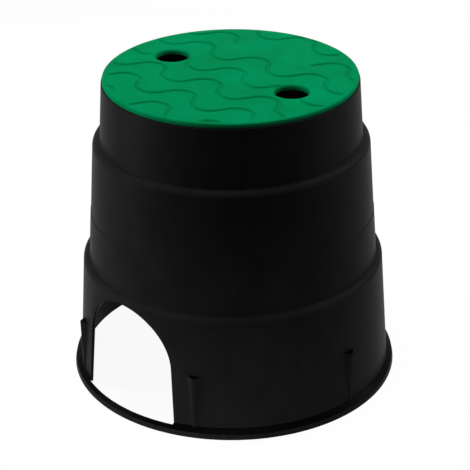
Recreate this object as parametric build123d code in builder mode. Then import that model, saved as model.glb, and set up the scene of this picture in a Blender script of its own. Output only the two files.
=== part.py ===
from build123d import *

import os
from math import ceil, cos, radians, tan

# Irrigation valve box: a moulded shell that stands over a buried valve, and the lid that lies on it.
# The origin is at the centre of the foot, on the ground. Z is up and the pipe runs along Y.

# Shell: three drafted tiers, the widest at the foot
shell_height = 251.0
mouth_radius = 102.2
wall = 2.5
draft = 3.9
upper_shoulder_height = 203.1
upper_shoulder_step = 5.7
lower_shoulder_height = 101.9
lower_shoulder_step = 4.8
shoulder_bevel = 3.2
mould_line_height = 141.0
mould_line_step = 0.35

# Foot: a skirt that stands out from the wall all the way round
foot_height = 7.7
foot_reach = 4.1
foot_wall = 2.7
foot_flare = 12.0

# Pipe openings: two opposite arches that stop at the skirt
arch_crown_height = 96.4
arch_radius = 46.0
arch_flare = 4.4

# Lugs: six wedges on the lowest tier, widest and deepest at the top
lug_count = 6
lug_top_height = 52.0
lug_top_width = 11.4
lug_top_reach = 4.7
lug_foot_reach = 0.9
lug_crest_width = 1.6

# Lid: a disc with a spigot below and two lift holes, laid on the mouth a little out of line
lid_setback = 0.7
lid_thickness = 4.0
lid_draft = 5.0
lid_turn = 3.7
spigot_depth = 8.0
spigot_wall = 2.5
spigot_clearance = 0.8
hole_spacing = 123.5
hole_radius = 13.3
hole_lip_bevel = 1.1

# Tread: grooves in level rows of round waves, with one bare panel
wave_length = 57.8
wave_height = 21.6
wave_slope = 60.0
row_pitch = 29.6
row_shift = -0.7
groove_width = 2.8
groove_depth = 0.9
tread_border = 2.5
hole_land = 0.8
panel_width = 76.0
panel_height = 30.0
panel_row = 2

slope = tan(radians(draft))


def tier_radius(start_radius, start_height, height):
    """Radius of a drafted wall at a height, from a point above it on the same wall."""
    return start_radius + (start_height - height) * slope


# Radii of the outer face, from the mouth down
upper_crease_radius = tier_radius(mouth_radius, shell_height, upper_shoulder_height)
upper_corner_radius = upper_crease_radius + upper_shoulder_step
mould_line_radius = tier_radius(upper_corner_radius, upper_shoulder_height, mould_line_height)
proud_radius = mould_line_radius + mould_line_step
lower_crease_radius = tier_radius(proud_radius, mould_line_height, lower_shoulder_height)
lower_corner_radius = lower_crease_radius + lower_shoulder_step
wall_foot_radius = tier_radius(lower_corner_radius, lower_shoulder_height, foot_height)
foot_top_radius = wall_foot_radius + foot_reach
foot_radius = foot_top_radius + foot_height * tan(radians(foot_flare))
shelf_radius = foot_top_radius - foot_wall / 2

upper_corner = (upper_corner_radius, upper_shoulder_height)
lower_corner = (lower_corner_radius, lower_shoulder_height)

# One lug, on the X axis: a V whose crest leans back to the wall as it goes down
lug_face_radius = tier_radius(lower_corner_radius, lower_shoulder_height, lug_top_height)
lug_crest_radius = lug_face_radius + lug_top_reach
lug_root_radius = lug_face_radius - wall / 2
lug_flank = (lug_top_width - lug_crest_width) / 2 / lug_top_reach
lug_root_half_width = lug_crest_width / 2 + (lug_crest_radius - lug_root_radius) * lug_flank
lug_height = lug_top_height - foot_height
lug_lean = lug_height * slope - (lug_top_reach - lug_foot_reach)
lug_axis = Vector(lug_lean, 0, -lug_height)

with BuildPart() as lug:
    with BuildSketch(Plane.XZ):
        Polygon(
            (lug_root_radius, lug_top_height),
            (lug_crest_radius, lug_top_height),
            (lug_crest_radius + lug_lean, foot_height),
            (lug_root_radius + lug_height * slope, foot_height),
            align=None,
        )
    extrude(amount=lug_root_half_width, both=True)
    with BuildSketch(Plane.XY.offset(lug_top_height)):
        Polygon(
            (lug_crest_radius, lug_crest_width / 2),
            (lug_crest_radius, -lug_crest_width / 2),
            (lug_root_radius, -lug_root_half_width),
            (lug_root_radius, lug_root_half_width),
            align=None,
        )
    extrude(amount=lug_axis.length, dir=lug_axis, mode=Mode.INTERSECT)

# Shell: one moulding, open at the mouth and under the foot
with BuildPart() as body:
    with BuildSketch(Plane.XZ) as section:
        with BuildLine():
            Polyline(
                (shelf_radius, foot_height - wall),
                (shelf_radius, foot_height),
                (wall_foot_radius, foot_height),
                lower_corner,
                (lower_crease_radius, lower_shoulder_height),
                (proud_radius, mould_line_height),
                (mould_line_radius, mould_line_height),
                upper_corner,
                (upper_crease_radius, upper_shoulder_height),
                (mouth_radius, shell_height),
                (mouth_radius - wall, shell_height),
                (upper_crease_radius - wall, upper_shoulder_height - wall),
                (upper_corner_radius - wall, upper_shoulder_height - wall),
                (lower_crease_radius - wall, lower_shoulder_height - wall),
                (lower_corner_radius - wall, lower_shoulder_height - wall),
                (wall_foot_radius - wall, foot_height - wall),
                close=True,
            )
        make_face()
        for corner in (upper_corner, lower_corner):
            chamfer(section.vertices().sort_by_distance(corner)[0], shoulder_bevel)
    revolve(axis=Axis.Z)

    # Arches, cut down through the wall and the shelf under it
    with BuildSketch(Plane.XZ) as arch:
        arch_centre = arch_crown_height - arch_radius
        with BuildLine():
            crown = CenterArc((0, arch_centre), arch_radius, arch_flare, 180 - 2 * arch_flare)
            side_drop = (crown @ 0).Y
            half_width = (crown @ 0).X + side_drop * tan(radians(arch_flare))
            Polyline(crown @ 0, (half_width, 0), (-half_width, 0), crown @ 1)
        make_face()
    extrude(amount=foot_radius, both=True, mode=Mode.SUBTRACT)

    # Skirt, whole all the way round, so that it crosses under each arch as a bar
    with BuildSketch(Plane.XZ):
        Polygon(
            (foot_radius, 0),
            (foot_top_radius, foot_height),
            (foot_top_radius - foot_wall, foot_height),
            (foot_radius - foot_wall, 0),
            align=None,
        )
    revolve(axis=Axis.Z)

    with PolarLocations(0, lug_count):
        add(lug.part)

# One half wave of a groove: two straight flanks with a round crest, whose ends meet the next half square on
quarter_wave = wave_length / 4
flank_peak = quarter_wave * tan(radians(wave_slope))
crest_radius = (flank_peak - wave_height / 2) / (1 / cos(radians(wave_slope)) - 1)

with BuildSketch() as bow:
    with BuildLine():
        FilletPolyline((-quarter_wave, 0), (0, flank_peak), (quarter_wave, 0), radius=crest_radius)
    trace(line_width=groove_width)

# Lid: one moulding in a second colour
lid_face = Plane.XY.offset(shell_height + lid_thickness).rotated((0, 0, lid_turn))
lid_radius = mouth_radius - lid_setback
spigot_radius = mouth_radius - wall - spigot_clearance
wave_reach = ceil(lid_radius / wave_length)
row_reach = ceil(lid_radius / row_pitch)

with BuildPart() as lid:
    with BuildSketch(Plane.XZ):
        Polygon(
            (0, shell_height),
            (0, shell_height + lid_thickness),
            (lid_radius - lid_thickness * tan(radians(lid_draft)), shell_height + lid_thickness),
            (lid_radius, shell_height),
            (spigot_radius, shell_height),
            (spigot_radius, shell_height - spigot_depth),
            (spigot_radius - spigot_wall, shell_height - spigot_depth),
            (spigot_radius - spigot_wall, shell_height),
            align=None,
        )
    revolve(axis=Axis.Z)

    with BuildSketch(lid_face):
        with GridLocations(hole_spacing, 0, 2, 1):
            Circle(hole_radius)
    extrude(amount=-lid_thickness, mode=Mode.SUBTRACT)
    hole_rims = lid.edges().filter_by(GeomType.CIRCLE).filter_by(lambda edge: edge.radius == hole_radius)
    chamfer(hole_rims.group_by(Axis.Z)[-1], hole_lip_bevel)

    # Crests and troughs alternate along each row
    with BuildSketch(lid_face):
        with Locations((0, row_shift)):
            with GridLocations(wave_length, row_pitch, 2 * wave_reach + 1, 2 * row_reach + 1):
                add(bow.sketch)
            with GridLocations(wave_length, row_pitch, 2 * wave_reach, 2 * row_reach + 1):
                add(bow.sketch, rotation=180)
            with Locations((0, panel_row * row_pitch)):
                Rectangle(panel_width, panel_height, mode=Mode.SUBTRACT)
        with GridLocations(hole_spacing, 0, 2, 1):
            Circle(hole_radius + hole_lip_bevel + hole_land, mode=Mode.SUBTRACT)
        Circle(lid_radius - tread_border, mode=Mode.INTERSECT)
    extrude(amount=-groove_depth, mode=Mode.SUBTRACT)

body.part.label = "body"
lid.part.label = "lid"

os.makedirs("parts", exist_ok=True)
export_step(body.part, "parts/body.step")
export_step(lid.part, "parts/lid.step")
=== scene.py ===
import math

import bmesh
import bpy
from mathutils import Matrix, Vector


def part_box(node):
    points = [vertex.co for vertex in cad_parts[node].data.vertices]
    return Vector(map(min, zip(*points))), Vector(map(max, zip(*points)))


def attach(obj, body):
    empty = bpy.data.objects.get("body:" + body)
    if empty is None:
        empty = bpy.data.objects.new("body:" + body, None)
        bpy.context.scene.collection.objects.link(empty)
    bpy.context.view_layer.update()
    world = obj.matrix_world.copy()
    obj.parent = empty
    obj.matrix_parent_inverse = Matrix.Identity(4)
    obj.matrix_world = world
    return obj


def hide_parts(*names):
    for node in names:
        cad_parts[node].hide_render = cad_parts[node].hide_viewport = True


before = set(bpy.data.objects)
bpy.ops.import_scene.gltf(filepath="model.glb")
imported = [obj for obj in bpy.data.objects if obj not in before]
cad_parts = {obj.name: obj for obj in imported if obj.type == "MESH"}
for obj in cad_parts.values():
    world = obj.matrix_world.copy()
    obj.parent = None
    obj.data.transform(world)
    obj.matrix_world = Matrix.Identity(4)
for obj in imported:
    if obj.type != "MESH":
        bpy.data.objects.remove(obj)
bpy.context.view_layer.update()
scene = bpy.context.scene

# Camera: a long lens a little above the lid, on the corner between the pipe opening and the side
camera_aim = Vector((0.00138, 0.00135, 0.11166))
camera_roll = math.radians(-0.744)
camera_data = bpy.data.cameras.new("camera")
camera_data.sensor_width = 36.0
camera_data.lens = 125.28
camera = bpy.data.objects.new("camera", camera_data)
camera.location = (0.8414, -0.8595, 0.7299)
camera.rotation_euler = (camera_aim - camera.location).to_track_quat("-Z", "Y").to_euler()
camera.rotation_euler.rotate_axis("Z", camera_roll)
scene.collection.objects.link(camera)
scene.camera = camera
scene.view_settings.view_transform = "Standard"


# Studio: a soft box overhead, and a high and a low one at each side, the low left one the strongest.
# The floor and the backdrop look white to the camera and in reflections. The floor keeps the shadow of
# the box, and throws light back only close round its foot, as a sheet of paper on a dark bench does.
class Flow:
    """One socket of a node tree. Sums on it are written as Python sums and add Math nodes."""

    def __init__(self, graph, socket):
        self.graph = graph
        self.socket = socket

    def math(self, operation, *values):
        return self.graph.add("ShaderNodeMath", {"operation": operation}, list(values))

    def __add__(self, other):
        return self.math("ADD", self, other)

    def __sub__(self, other):
        return self.math("SUBTRACT", self, other)

    def __rsub__(self, other):
        return self.math("SUBTRACT", other, self)

    def __mul__(self, other):
        return self.math("MULTIPLY", self, other)

    def __truediv__(self, other):
        return self.math("DIVIDE", self, other)

    def __neg__(self):
        return self.math("MULTIPLY", self, -1.0)

    def __abs__(self):
        return self.math("ABSOLUTE", self)

    def __lt__(self, other):
        return self.math("LESS_THAN", self, other)

    def __gt__(self, other):
        return self.math("GREATER_THAN", self, other)

    def root(self):
        return self.math("SQRT", self)

    def part(self, name):
        """Another output of the node that this one comes from."""
        return Flow(self.graph, self.socket.node.outputs[name])

    __radd__ = __add__
    __rmul__ = __mul__


class Graph:
    """A node tree, and the one method that adds a node of any other kind to it."""

    def __init__(self, tree):
        self.tree = tree

    def add(self, kind, settings, values, output=0):
        """Adds a node, sets its settings first and then its sockets, and returns one output."""
        node = self.tree.nodes.new(kind)
        for name, setting in settings.items():
            setattr(node, name, setting)
        for name, value in values.items() if isinstance(values, dict) else enumerate(values):
            if isinstance(value, (Flow, list)):
                for flow in value if isinstance(value, list) else [value]:
                    self.tree.links.new(flow.socket, node.inputs[name])
            else:
                node.inputs[name].default_value = value
        return Flow(self, node.outputs[output]) if node.outputs else None


def seen_directly(graph):
    """1 for rays from the camera, a reflection or a clear material, and 0 for scattered light."""
    path = graph.add("ShaderNodeLightPath", {}, {})
    seen = path + path.part("Is Glossy Ray") + path.part("Is Transmission Ray")
    return graph.add("ShaderNodeMath", {"operation": "MINIMUM"}, [seen, 1.0])


white = (1.0, 1.0, 1.0, 1.0)
fill_strength = 0.03
world = bpy.data.worlds.new("studio")
world.use_nodes = True
world.node_tree.nodes.clear()
graph = Graph(world.node_tree)
strength = seen_directly(graph) * (1.0 - fill_strength) + fill_strength
sky = graph.add("ShaderNodeBackground", {}, {"Color": white, "Strength": strength})
graph.add("ShaderNodeOutputWorld", {}, {"Surface": sky})
scene.world = world

# Paper of the floor: its glow and shadow for the camera, and the share of light that it throws back, which
# falls off between two distances from the box's axis
shadow_share = 0.12
paper_white = (0.8, 0.8, 0.8, 1.0)
paper_glow = 1.06
bounce_full = 0.17
bounce_ends = 0.3
bounce_share = 0.6
bounce_rest = 0.02
paper = bpy.data.materials.new("white_paper")
paper.use_nodes = True
paper.node_tree.nodes.clear()
graph = Graph(paper.node_tree)
seen = seen_directly(graph)
place = graph.add("ShaderNodeTexCoord", {}, {}, output="Object")
from_box = graph.add("ShaderNodeVectorMath", {"operation": "LENGTH"}, [place], output="Value")
bounce = graph.add(
    "ShaderNodeMapRange",
    {"interpolation_type": "SMOOTHSTEP"},
    {
        "Value": from_box,
        "From Min": bounce_full,
        "From Max": bounce_ends,
        "To Min": bounce_share,
        "To Max": bounce_rest,
    },
)
tone = graph.add("ShaderNodeMix", {"data_type": "RGBA"}, {0: seen, 6: bounce, 7: paper_white}, output=2)
sheet = graph.add("ShaderNodeBsdfDiffuse", {}, {"Color": tone})
glow = graph.add("ShaderNodeEmission", {}, {"Color": white, "Strength": paper_glow})
mixed = graph.add("ShaderNodeMixShader", {}, [seen * (1.0 - shadow_share), sheet, glow])
graph.add("ShaderNodeOutputMaterial", {}, {"Surface": mixed})

floor_half = 6.0
floor_mesh = bpy.data.meshes.new("floor")
floor_build = bmesh.new()
bmesh.ops.create_grid(floor_build, x_segments=1, y_segments=1, size=floor_half)
floor_build.to_mesh(floor_mesh)
floor_build.free()
floor_mesh.materials.append(paper)
floor = bpy.data.objects.new("floor", floor_mesh)
scene.collection.objects.link(floor)

# Name, degrees round the box from the camera, distance, height, size, height of the aim, spread in
# degrees, and brightness on white. The one at the foot is masked so that it lights the foot alone.
camera_azimuth = math.atan2(camera.location.y, camera.location.x)
soft_boxes = [
    ("overhead", 0.0, 0.01, 1.8, 0.9, 0.13, 180.0, 0.56),
    ("left high", -100.0, 1.0, 0.9, 0.4, 0.13, 180.0, 0.3),
    ("right high", 120.0, 1.0, 0.9, 0.4, 0.13, 180.0, 0.3),
    ("left low", -82.0, 0.8, 0.06, 0.3, 0.13, 180.0, 0.5),
    ("right low", 83.0, 0.8, 0.06, 0.3, 0.13, 180.0, 0.2),
    ("foot", -15.0, 0.6, 0.1, 0.15, -0.03, 40.0, 0.015),
]
for name, round_to, distance, up, across, aim_height, spread, brightness in soft_boxes:
    lamp = bpy.data.lights.new(name, "AREA")
    lamp.shape = "SQUARE"
    lamp.size = across
    lamp.spread = math.radians(spread)
    azimuth = camera_azimuth + math.radians(round_to)
    lamp_object = bpy.data.objects.new(name, lamp)
    lamp_object.location = (distance * math.cos(azimuth), distance * math.sin(azimuth), up)
    beam = Vector((0.0, 0.0, aim_height)) - lamp_object.location
    lamp.energy = brightness * math.pi**2 * beam.length_squared
    lamp_object.rotation_euler = beam.to_track_quat("-Z", "Y").to_euler()
    lamp_object.visible_camera = False
    scene.collection.objects.link(lamp_object)

# Shell: one black polypropylene injection moulding, open at the mouth and under the foot. Three
# drafted tiers step out on rounded shoulders to a skirt with a sloping ledge, which runs on as a bar
# under the two arches for the pipe.
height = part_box("body")[1].z
mouth_radius = 0.1022
wall = 0.0025
draft = math.tan(math.radians(3.9))
upper_shoulder = 0.2031
upper_step = 0.0057
lower_shoulder = 0.1019
lower_step = 0.0048
mould_line = 0.141
mould_line_step = 0.00035
foot_height = 0.0077
foot_reach = 0.0041
upper_crease_radius = mouth_radius + (height - upper_shoulder) * draft
upper_corner_radius = upper_crease_radius + upper_step
mould_line_radius = upper_corner_radius + (upper_shoulder - mould_line) * draft
proud_radius = mould_line_radius + mould_line_step
lower_crease_radius = proud_radius + (mould_line - lower_shoulder) * draft
lower_corner_radius = lower_crease_radius + lower_step
wall_foot_radius = lower_corner_radius + (lower_shoulder - foot_height) * draft
skirt_top_radius = wall_foot_radius + foot_reach
skirt_flare = math.tan(math.radians(12.0))
skirt_foot_radius = skirt_top_radius + foot_height * skirt_flare
skirt_wall = 0.0027
lip_height = 0.0046
lip_radius = skirt_foot_radius - lip_height * skirt_flare

# Ledge: a slope from the lip up to the wall, part of which runs on under the arches. The wall starts
# inside the skirt, a hair below the slope, so that no two faces lie on each other.
ledge_slope = (foot_height - lip_height) / (lip_radius - wall_foot_radius)
ledge_reach = 0.0035
ledge_wall = 0.0018
ledge_radius = lip_radius - ledge_reach
ledge_height = lip_height + ledge_reach * ledge_slope
root_radius = lip_radius - skirt_wall
root_height = lip_height + skirt_wall * ledge_slope
root_drop = 0.0001
leg_foot = 0.0022

# Corners of the wall and of the skirt as radius, height and rounding
shoulder_rounding = 0.005
crease_rounding = 0.0008
wall_outline = [
    (root_radius, root_height - root_drop - ledge_wall / 2, 0.0),
    (root_radius, root_height - root_drop, 0.0),
    (wall_foot_radius, foot_height, 0.0006),
    (lower_corner_radius, lower_shoulder, shoulder_rounding),
    (lower_crease_radius, lower_shoulder, crease_rounding),
    (proud_radius, mould_line, 0.0002),
    (mould_line_radius, mould_line, 0.0001),
    (upper_corner_radius, upper_shoulder, shoulder_rounding),
    (upper_crease_radius, upper_shoulder, crease_rounding),
    (mouth_radius, height, 0.0005),
    (mouth_radius - wall, height, 0.0005),
    (upper_crease_radius - wall, upper_shoulder - wall, crease_rounding + wall),
    (upper_corner_radius - wall, upper_shoulder - wall, shoulder_rounding - wall),
    (lower_crease_radius - wall, lower_shoulder - wall, crease_rounding + wall),
    (lower_corner_radius - wall, lower_shoulder - wall, shoulder_rounding - wall),
    (wall_foot_radius - wall, leg_foot, 0.0),
]
skirt_outline = [
    (skirt_foot_radius, 0.0, 0.0004),
    (lip_radius, lip_height, 0.0006),
    (ledge_radius, ledge_height, 0.0003),
    (ledge_radius, ledge_height - ledge_wall, 0.0003),
    (root_radius, root_height - ledge_wall, 0.0005),
    (skirt_foot_radius - skirt_wall, 0.0, 0.0004),
]

# Outline of an arch as distance from its middle and height
arch_crown = 0.0964
arch_radius = 0.046
arch_flare = math.radians(4.4)
arch_bottom = -0.01
arch_steps = 48
arch_centre = arch_crown - arch_radius
arch_sweep = math.pi - 2 * arch_flare
arch_angles = [arch_flare + arch_sweep * step / arch_steps for step in range(arch_steps + 1)]
arch_outline = [
    (-arch_radius * math.cos(angle), arch_centre + arch_radius * math.sin(angle), 0.0)
    for angle in arch_angles
]
arch_half_width = arch_outline[-1][0] + (arch_outline[-1][1] - arch_bottom) * math.tan(arch_flare)
arch_outline += [(arch_half_width, arch_bottom, 0.0), (-arch_half_width, arch_bottom, 0.0)]


def outline_object(name, outlines, opened=()):
    """An object whose mesh holds outlines, each with its number and its roundings."""
    mesh = bpy.data.meshes.new(name)
    points = []
    edges = []
    for number, outline in enumerate(outlines):
        first = len(points)
        last = first + len(outline) - 1
        points += outline
        edges += [(at, at + 1) for at in range(first, last)]
        if number not in opened:
            edges.append((last, first))
    mesh.from_pydata([(across, 0.0, up) for across, up, rounding in points], edges, [])
    numbers = mesh.attributes.new("outline", "FLOAT", "POINT")
    roundings = mesh.attributes.new("rounding", "FLOAT", "POINT")
    labels = [float(number) for number, outline in enumerate(outlines) for point in outline]
    numbers.data.foreach_set("value", labels)
    roundings.data.foreach_set("value", [rounding for across, up, rounding in points])
    made = bpy.data.objects.new(name, mesh)
    scene.collection.objects.link(made)
    return made


def outline_part(graph, geometry, number):
    """One of the outlines of such an object."""
    numbers = graph.add("GeometryNodeInputNamedAttribute", {"data_type": "FLOAT"}, {"Name": "outline"})
    chosen = abs(numbers - float(number)) < 0.5
    return graph.add("GeometryNodeSeparateGeometry", {}, {"Geometry": geometry, "Selection": chosen})


def profile(graph, outline, steps):
    """An outline as a curve with rounded corners, laid flat as Curve to Mesh wants its profile."""
    curve = graph.add("GeometryNodeMeshToCurve", {}, {"Mesh": outline})
    radius = graph.add("GeometryNodeInputNamedAttribute", {"data_type": "FLOAT"}, {"Name": "rounding"})
    rounded = graph.add(
        "GeometryNodeFilletCurve",
        {"mode": "POLY"},
        {"Curve": curve, "Count": steps, "Radius": radius, "Limit Radius": True},
    )
    place = graph.add("ShaderNodeSeparateXYZ", {}, [graph.add("GeometryNodeInputPosition", {}, {})])
    flat = graph.add("ShaderNodeCombineXYZ", {}, [place.part("X"), -place.part("Z"), 0.0])
    return graph.add("GeometryNodeSetPosition", {}, {"Geometry": rounded, "Position": flat})


def turned(graph, curve, segments):
    """A laid outline carried once round the upright axis, on a small circle."""
    rail_radius = 0.001
    rail = graph.add(
        "GeometryNodeCurvePrimitiveCircle", {}, {"Resolution": segments, "Radius": rail_radius}
    )
    inward = graph.add(
        "GeometryNodeSetPosition", {}, {"Geometry": curve, "Offset": (-rail_radius, 0.0, 0.0)}
    )
    return graph.add("GeometryNodeCurveToMesh", {}, {"Curve": rail, "Profile Curve": inward})


def named_tree(name, sizes):
    """A geometry tree with a named input for each size, and the flows of those inputs."""
    tree = bpy.data.node_groups.new(name, "GeometryNodeTree")
    tree.interface.new_socket("Geometry", in_out="INPUT", socket_type="NodeSocketGeometry")
    for label, (kind, value) in sizes.items():
        tree.interface.new_socket(label, in_out="INPUT", socket_type=kind)
    tree.interface.new_socket("Geometry", in_out="OUTPUT", socket_type="NodeSocketGeometry")
    graph = Graph(tree)
    start = tree.nodes.new("NodeGroupInput")
    flows = {socket.name: Flow(graph, socket) for socket in start.outputs if socket.name}
    return graph, flows


def made_piece(source, graph, sizes, name, shape):
    """Ends a geometry tree, applies it to its outlines, and returns a plain mesh object."""
    real = graph.add("GeometryNodeRealizeInstances", {}, {"Geometry": shape})
    inputs = [item for item in graph.tree.interface.items_tree if item.in_out == "INPUT"]
    identifiers = {item.name: item.identifier for item in inputs}
    plastic = Flow(graph, graph.tree.nodes["Group Input"].outputs["Plastic"])
    painted = graph.add("GeometryNodeSetMaterial", {}, {"Geometry": real, "Material": plastic})
    graph.add("NodeGroupOutput", {}, {"Geometry": painted})
    modifier = source.modifiers.new("shape", "NODES")
    modifier.node_group = graph.tree
    for label, (kind, value) in sizes.items():
        modifier[identifiers[label]] = value
    even = source.modifiers.new("even shading", "WEIGHTED_NORMAL")
    even.keep_sharp = True
    even.weight = 100
    mesh = bpy.data.meshes.new_from_object(source.evaluated_get(bpy.context.evaluated_depsgraph_get()))
    mesh.name = name
    while None in mesh.materials[:]:
        mesh.materials.pop(index=mesh.materials[:].index(None))
    piece = bpy.data.objects.new(name, mesh)
    scene.collection.objects.link(piece)
    bpy.data.objects.remove(source)
    return piece


def lug_ring(graph, sizes):
    """Lugs round the lowest tier: each a V that leans back into the wall on its way down."""
    block = graph.add("GeometryNodeMeshCube", {}, {"Size": (2.0, 2.0, 2.0)})
    place = graph.add("ShaderNodeSeparateXYZ", {}, [graph.add("GeometryNodeInputPosition", {}, {})])
    crest = place.part("X") * 0.5 + 0.5
    side = place.part("Y")
    swell = place.part("Z") * 0.5 + 0.5
    lift = swell * (sizes["Lug Top"] - sizes["Lug Foot"])
    reach = sizes["Lug Foot Reach"] + swell * (sizes["Lug Top Reach"] - sizes["Lug Foot Reach"])
    inner = sizes["Lug Foot Radius"] - lift * sizes["Draft"] - sizes["Lug Root"]
    depth = reach + sizes["Lug Root"]
    half_width = sizes["Lug Crest"] + (1.0 - crest) * depth * sizes["Lug Flank"]
    level = lift + sizes["Lug Foot"]
    place = graph.add("ShaderNodeCombineXYZ", {}, [inner + crest * depth, side * half_width, level])
    lug = graph.add("GeometryNodeSetPosition", {}, {"Geometry": block, "Position": place})
    stations = graph.add("GeometryNodeMeshLine", {}, {"Count": sizes["Lugs"], "Offset": (0.0, 0.0, 0.0)})
    turn = graph.add("GeometryNodeInputIndex", {}, {}) * math.tau / sizes["Lugs"]
    turns = graph.add("ShaderNodeCombineXYZ", {}, [0.0, 0.0, turn])
    ring = graph.add(
        "GeometryNodeInstanceOnPoints", {}, {"Points": stations, "Instance": lug, "Rotation": turns}
    )
    return graph.add("GeometryNodeRealizeInstances", {}, {"Geometry": ring})


def moulded_plastic(name, dark, light, gloss, rough):
    """Moulded polypropylene: spark grain, flow marks, drag marks up the draw, and painted shade on marked
    faces.
    """
    flow_scale = 34.0
    flow_in_tone = 1.7
    flow_in_sheen = 0.15
    drag_scale = 240.0
    drag_stretch = (1.0, 1.0, 0.05)
    drag_in_tone = 0.5
    drag_in_sheen = 0.1
    drag_in_relief = 0.5
    grain_scale = 1100.0
    grain_height = 0.00004
    grain_strength = 0.4
    tone_drop = 0.6
    painted_shade_in_tone = 0.93
    top_face_smoothing = 0.1
    material = bpy.data.materials.new(name)
    material.use_nodes = True
    material.node_tree.nodes.clear()
    graph = Graph(material.node_tree)
    place = graph.add("ShaderNodeTexCoord", {}, {}, output="Object")
    drawn = graph.add("ShaderNodeMapping", {}, {"Vector": place, "Scale": drag_stretch})
    flow = graph.add(
        "ShaderNodeTexNoise", {}, {"Vector": place, "Scale": flow_scale, "Detail": 4.0, "Roughness": 0.6}
    )
    drag = graph.add(
        "ShaderNodeTexNoise", {}, {"Vector": drawn, "Scale": drag_scale, "Detail": 2.0, "Roughness": 0.5}
    )
    grain = graph.add(
        "ShaderNodeTexNoise", {}, {"Vector": place, "Scale": grain_scale, "Detail": 2.0, "Roughness": 0.5}
    )
    blend = flow * flow_in_tone + drag * drag_in_tone - tone_drop
    tone = graph.add(
        "ShaderNodeMix", {"data_type": "RGBA"}, {0: blend, 6: dark + (1.0,), 7: light + (1.0,)}, output=2
    )
    # Painted shade: faces marked by the geometry tree are darkened almost to black, standing in for the
    # dark reflections on glossy tops, and made a little smoother
    polished = graph.add("ShaderNodeAttribute", {"attribute_name": "polished"}, {}, output="Fac")
    black = (0.0, 0.0, 0.0, 1.0)
    tone = graph.add(
        "ShaderNodeMix", {"data_type": "RGBA"}, {0: polished * painted_shade_in_tone, 6: tone, 7: black}, output=2
    )
    middle_rough = rough - (flow_in_sheen + drag_in_sheen) / 2
    sheen = flow * flow_in_sheen + drag * drag_in_sheen + middle_rough - polished * top_face_smoothing
    relief = grain + drag * drag_in_relief
    bump = graph.add(
        "ShaderNodeBump",
        {},
        {"Strength": grain_strength, "Distance": grain_height, "Height": relief},
        output="Normal",
    )
    surface = graph.add(
        "ShaderNodeBsdfPrincipled",
        {},
        {"Base Color": tone, "Roughness": sheen, "Specular IOR Level": gloss, "Normal": bump},
    )
    graph.add("ShaderNodeOutputMaterial", {}, {"Surface": surface})
    return material


black_dark = (0.0105, 0.0105, 0.0115)
black_light = (0.0175, 0.0175, 0.019)
black_plastic = moulded_plastic("black_moulding", black_dark, black_light, gloss=0.009, rough=0.42)
lug_sunk = 0.0015
shell_sizes = {
    "Plastic": ("NodeSocketMaterial", black_plastic),
    "Segments": ("NodeSocketInt", 288),
    "Rounding Steps": ("NodeSocketInt", 5),
    "Arch Reach": ("NodeSocketFloat", skirt_foot_radius),
    "Draft": ("NodeSocketFloat", draft),
    "Lugs": ("NodeSocketInt", 6),
    "Lug Top": ("NodeSocketFloat", 0.052),
    "Lug Top Reach": ("NodeSocketFloat", 0.0047),
    "Lug Foot": ("NodeSocketFloat", foot_height - lug_sunk),
    "Lug Foot Radius": ("NodeSocketFloat", wall_foot_radius + lug_sunk * draft),
    "Lug Foot Reach": ("NodeSocketFloat", 0.0009),
    "Lug Root": ("NodeSocketFloat", wall / 2),
    "Lug Crest": ("NodeSocketFloat", 0.0008),
    "Lug Flank": ("NodeSocketFloat", 1.04),
    # Faces below this height that look up more than this slope get painted shade in the material
    "Painted Dark Below": ("NodeSocketFloat", 0.055),
    "Painted Dark Slope": ("NodeSocketFloat", 0.35),
}
graph, sizes = named_tree("valve box shell", shell_sizes)
outlines = sizes["Geometry"]
wall_profile = profile(graph, outline_part(graph, outlines, 0), sizes["Rounding Steps"])
skirt_profile = profile(graph, outline_part(graph, outlines, 1), sizes["Rounding Steps"])
wall_ring = turned(graph, wall_profile, sizes["Segments"])
skirt_ring = turned(graph, skirt_profile, sizes["Segments"])
near = graph.add("ShaderNodeCombineXYZ", {}, [0.0, -sizes["Arch Reach"], 0.0])
far = graph.add("ShaderNodeCombineXYZ", {}, [0.0, sizes["Arch Reach"], 0.0])
arch_line = graph.add("GeometryNodeCurvePrimitiveLine", {}, {"Start": near, "End": far})
arch_curve = profile(graph, outline_part(graph, outlines, 2), 1)
arch_prism = graph.add(
    "GeometryNodeCurveToMesh", {}, {"Curve": arch_line, "Profile Curve": arch_curve, "Fill Caps": True}
)
cut_wall = graph.add(
    "GeometryNodeMeshBoolean",
    {"operation": "DIFFERENCE", "solver": "EXACT"},
    {"Mesh 1": wall_ring, "Mesh 2": arch_prism},
)
moulding = graph.add(
    "GeometryNodeMeshBoolean",
    {"operation": "UNION", "solver": "EXACT"},
    {"Mesh 2": [cut_wall, skirt_ring, lug_ring(graph, sizes)]},
)

# The ledge of the foot and the tops of the lugs look up. They are marked for painted shade, darkened
# almost to black in place of the dark reflections on such tops, and a little smoother than the grained
# walls
facing = graph.add("ShaderNodeSeparateXYZ", {}, [graph.add("GeometryNodeInputNormal", {}, {})]).part("Z")
level = graph.add("ShaderNodeSeparateXYZ", {}, [graph.add("GeometryNodeInputPosition", {}, {})]).part("Z")
polished = (facing > sizes["Painted Dark Slope"]) * (level < sizes["Painted Dark Below"])
moulding = graph.add(
    "GeometryNodeStoreNamedAttribute",
    {"data_type": "FLOAT", "domain": "FACE"},
    {"Geometry": moulding, "Name": "polished", "Value": polished},
)
shell_outlines = outline_object("shell outlines", [wall_outline, skirt_outline, arch_outline])
shell = made_piece(shell_outlines, graph, shell_sizes, "shell", moulding)
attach(shell, "root")
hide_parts("body")

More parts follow.
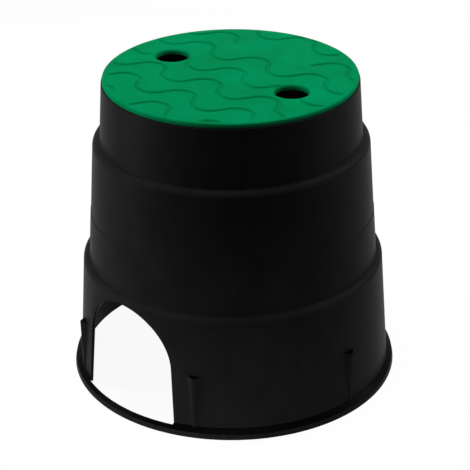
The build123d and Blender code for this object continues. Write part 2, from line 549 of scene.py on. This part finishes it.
# Lid: one green polypropylene injection moulding that lies loose on the mouth, its spigot inside.
# The tread is wave grooves in level rows, and two round holes take a finger or a lifting key.
lid_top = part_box("lid")[1].z
lid_setback = 0.0007
lid_radius = mouth_radius - lid_setback
lid_draft = math.tan(math.radians(5.0))
lid_top_radius = lid_radius - (lid_top - height) * lid_draft
spigot_play = 0.0008
spigot_radius = mouth_radius - wall - spigot_play
spigot_wall = 0.0025
spigot_foot = height - 0.008
field_radius = 0.09
lid_outline = [
    (field_radius, lid_top, 0.0),
    (lid_top_radius, lid_top, 0.0016),
    (lid_radius, height, 0.001),
    (spigot_radius, height, 0.0003),
    (spigot_radius, spigot_foot, 0.0005),
    (spigot_radius - spigot_wall, spigot_foot, 0.0005),
    (spigot_radius - spigot_wall, height, 0.0008),
    (field_radius, height, 0.0),
]

# A lift hole's cutter, from its middle out: a straight bore under a rounded lip
hole_radius = 0.0133
hole_lip_reach = 0.004
hole_lip_rise = 0.0003
hole_clear = 0.002
hole_outline = [
    (0.0, lid_top + hole_clear, 0.0),
    (hole_radius + hole_lip_reach, lid_top + hole_clear, 0.0),
    (hole_radius + hole_lip_reach, lid_top + hole_lip_rise, 0.0),
    (hole_radius, lid_top, 0.0023),
    (hole_radius, height - hole_clear, 0.0),
    (0.0, height - hole_clear, 0.0),
]

# A groove's section, from the lid's face: a rounded floor between sloping sides and eased lips
groove_depth = 0.0015
floor_half_width = 0.00088
lip_half_width = 0.00198
clear_half_width = 0.00308
lip_drop = 0.00015
lip_rise = 0.0002
groove_clear = 0.001
groove_outline = [
    (floor_half_width, -groove_depth, 0.0008),
    (-floor_half_width, -groove_depth, 0.0008),
    (-lip_half_width, -lip_drop, 0.0006),
    (-clear_half_width, lip_rise, 0.0),
    (-clear_half_width, groove_clear, 0.0),
    (clear_half_width, groove_clear, 0.0),
    (clear_half_width, lip_rise, 0.0),
    (lip_half_width, -lip_drop, 0.0006),
]

# One wave of a groove: round crest and trough joined by straight flanks
wave_length = 0.0578
wave_half_height = 0.0108
wave_slope = math.radians(60.0)
flank_peak = wave_length / 4 * math.tan(wave_slope)
crest_radius = (flank_peak - wave_half_height) / (1 / math.cos(wave_slope) - 1)
wave_steps = 56


def wave_rise(along):
    """Height of the wave, whose crest is at 0, at a distance along its row."""
    from_crest = abs((along / wave_length + 0.5) % 1.0 - 0.5) * wave_length
    side = 1.0 if from_crest < wave_length / 4 else -1.0
    across = min(from_crest, wave_length / 2 - from_crest)
    if across < crest_radius * math.sin(wave_slope):
        return side * (wave_half_height - crest_radius + math.sqrt(crest_radius**2 - across**2))
    return side * (wave_length / 4 - across) * math.tan(wave_slope)


wave_outline = [
    (wave_length * step / wave_steps, wave_rise(wave_length * step / wave_steps), 0.0)
    for step in range(wave_steps + 1)
]


def wave_rows(graph, wave, sizes):
    """Paths of all grooves: the wave repeated along its rows, less the edge, the holes and the panel."""
    row_weld = 0.00005
    place = graph.add("ShaderNodeSeparateXYZ", {}, [graph.add("GeometryNodeInputPosition", {}, {})])
    level = graph.add("ShaderNodeCombineXYZ", {}, [place.part("X"), place.part("Z"), 0.0])
    wave = graph.add("GeometryNodeSetPosition", {}, {"Geometry": wave, "Position": level})
    columns = sizes["Columns"]
    start = graph.add("ShaderNodeCombineXYZ", {}, [columns * sizes["Wave Length"] * -0.5, 0.0, 0.0])
    step = graph.add("ShaderNodeCombineXYZ", {}, [sizes["Wave Length"], 0.0, 0.0])
    stations = graph.add(
        "GeometryNodeMeshLine", {}, {"Count": columns, "Start Location": start, "Offset": step}
    )
    row = graph.add("GeometryNodeInstanceOnPoints", {}, {"Points": stations, "Instance": wave})
    first = sizes["Row Shift"] - (sizes["Rows"] - 1.0) * sizes["Row Pitch"] * 0.5
    start = graph.add("ShaderNodeCombineXYZ", {}, [0.0, first, 0.0])
    step = graph.add("ShaderNodeCombineXYZ", {}, [0.0, sizes["Row Pitch"], 0.0])
    stations = graph.add(
        "GeometryNodeMeshLine", {}, {"Count": sizes["Rows"], "Start Location": start, "Offset": step}
    )
    rows = graph.add("GeometryNodeInstanceOnPoints", {}, {"Points": stations, "Instance": row})
    rows = graph.add("GeometryNodeRealizeInstances", {}, {"Geometry": rows})
    rows = graph.add("GeometryNodeMergeByDistance", {}, {"Geometry": rows, "Distance": row_weld})
    place = graph.add("ShaderNodeSeparateXYZ", {}, [graph.add("GeometryNodeInputPosition", {}, {})])
    along = place.part("X")
    up = place.part("Y")
    from_middle = (along * along + up * up).root()
    from_hole = abs(along) - sizes["Hole Spacing"] * 0.5
    from_hole = (from_hole * from_hole + up * up).root()
    beside_panel = abs(along) - sizes["Panel Width"] * 0.5
    over_panel = abs(up - sizes["Panel Middle"]) - sizes["Panel Height"] * 0.5
    in_panel = (beside_panel < 0.0) * (over_panel < 0.0)
    bare = in_panel + (from_hole < sizes["Hole Land"]) + (from_middle > sizes["Tread Radius"])
    rows = graph.add(
        "GeometryNodeDeleteGeometry", {"domain": "POINT"}, {"Geometry": rows, "Selection": bare}
    )
    return graph.add("GeometryNodeMeshToCurve", {}, {"Mesh": rows})


green_dark = (0.0005, 0.22, 0.065)
green_light = (0.0, 0.3, 0.112)
green_plastic = moulded_plastic("green_moulding", green_dark, green_light, gloss=0.002, rough=0.45)
hole_land = 0.0019
tread_border = 0.0025
seam_weld = 0.00001
bore_segments = 96
groove_steps = 3
tip_share = 0.25
lid_sizes = {
    "Plastic": ("NodeSocketMaterial", green_plastic),
    "Segments": ("NodeSocketInt", 288),
    "Rounding Steps": ("NodeSocketInt", 4),
    "Field Radius": ("NodeSocketFloat", field_radius),
    "Face": ("NodeSocketFloat", lid_top),
    "Seat": ("NodeSocketFloat", height),
    "Turn": ("NodeSocketFloat", math.radians(3.7)),
    "Hole Spacing": ("NodeSocketFloat", 0.1235),
    "Hole Land": ("NodeSocketFloat", hole_radius + hole_land),
    "Tread Radius": ("NodeSocketFloat", lid_radius - tread_border),
    "Wave Length": ("NodeSocketFloat", wave_length),
    "Columns": ("NodeSocketInt", 4),
    "Row Pitch": ("NodeSocketFloat", 0.0296),
    "Row Shift": ("NodeSocketFloat", -0.0007),
    "Rows": ("NodeSocketInt", 7),
    "Panel Width": ("NodeSocketFloat", 0.076),
    "Panel Height": ("NodeSocketFloat", 0.03),
    "Panel Middle": ("NodeSocketFloat", 0.0585),
    "Run Out": ("NodeSocketFloat", 0.005),
}
graph, sizes = named_tree("valve box lid", lid_sizes)
outlines = sizes["Geometry"]
steps = sizes["Rounding Steps"]
rim = turned(graph, profile(graph, outline_part(graph, outlines, 0), steps), sizes["Segments"])
circle = graph.add(
    "GeometryNodeCurvePrimitiveCircle",
    {},
    {"Resolution": sizes["Segments"], "Radius": sizes["Field Radius"]},
)
field = graph.add("GeometryNodeFillCurve", {"mode": "NGONS"}, {"Curve": circle})
to_face = graph.add("ShaderNodeCombineXYZ", {}, [0.0, 0.0, sizes["Face"]])
to_seat = graph.add("ShaderNodeCombineXYZ", {}, [0.0, 0.0, sizes["Seat"]])
face = graph.add("GeometryNodeTransform", {}, {"Geometry": field, "Translation": to_face})
under = graph.add("GeometryNodeTransform", {}, {"Geometry": field, "Translation": to_seat})
under = graph.add("GeometryNodeFlipFaces", {}, {"Mesh": under})
plate = graph.add("GeometryNodeJoinGeometry", {}, {"Geometry": [rim, face, under]})
plate = graph.add("GeometryNodeMergeByDistance", {}, {"Geometry": plate, "Distance": seam_weld})
bore = turned(graph, profile(graph, outline_part(graph, outlines, 1), steps), bore_segments)
bore = graph.add("GeometryNodeMergeByDistance", {}, {"Geometry": bore, "Distance": seam_weld})
first_hole = graph.add("ShaderNodeCombineXYZ", {}, [sizes["Hole Spacing"] * -0.5, 0.0, 0.0])
spacing = graph.add("ShaderNodeCombineXYZ", {}, [sizes["Hole Spacing"], 0.0, 0.0])
stations = graph.add(
    "GeometryNodeMeshLine", {}, {"Count": 2, "Start Location": first_hole, "Offset": spacing}
)
bores = graph.add("GeometryNodeInstanceOnPoints", {}, {"Points": stations, "Instance": bore})
bores = graph.add("GeometryNodeRealizeInstances", {}, {"Geometry": bores})
paths = wave_rows(graph, outline_part(graph, outlines, 3), sizes)
section = profile(graph, outline_part(graph, outlines, 2), groove_steps)

# Each groove runs out towards both ends of its path
to_start = graph.add("GeometryNodeSplineParameter", {}, {}, output="Length")
to_end = graph.add("GeometryNodeSplineLength", {}, {}) - to_start
to_tip = graph.add("ShaderNodeMath", {"operation": "MINIMUM"}, [to_start, to_end])
swell = graph.add(
    "ShaderNodeMapRange",
    {"interpolation_type": "SMOOTHSTEP"},
    {"Value": to_tip, "From Max": sizes["Run Out"], "To Min": tip_share, "To Max": 1.0},
)
grooves = graph.add(
    "GeometryNodeCurveToMesh",
    {},
    {"Curve": paths, "Profile Curve": section, "Scale": swell, "Fill Caps": True},
)
grooves = graph.add("GeometryNodeTransform", {}, {"Geometry": grooves, "Translation": to_face})
moulding = graph.add(
    "GeometryNodeMeshBoolean",
    {"operation": "DIFFERENCE", "solver": "EXACT"},
    {"Mesh 1": plate, "Mesh 2": [bores, grooves]},
)

# The whole lid lies turned on the mouth
turn = graph.add("ShaderNodeCombineXYZ", {}, [0.0, 0.0, sizes["Turn"]])
moulding = graph.add("GeometryNodeTransform", {}, {"Geometry": moulding, "Rotation": turn})
lid_forms = [lid_outline, hole_outline, groove_outline, wave_outline]
lid_outlines = outline_object("lid outlines", lid_forms, opened={0, 3})
lid = made_piece(lid_outlines, graph, lid_sizes, "lid_moulding", moulding)
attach(lid, "root")
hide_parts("lid")
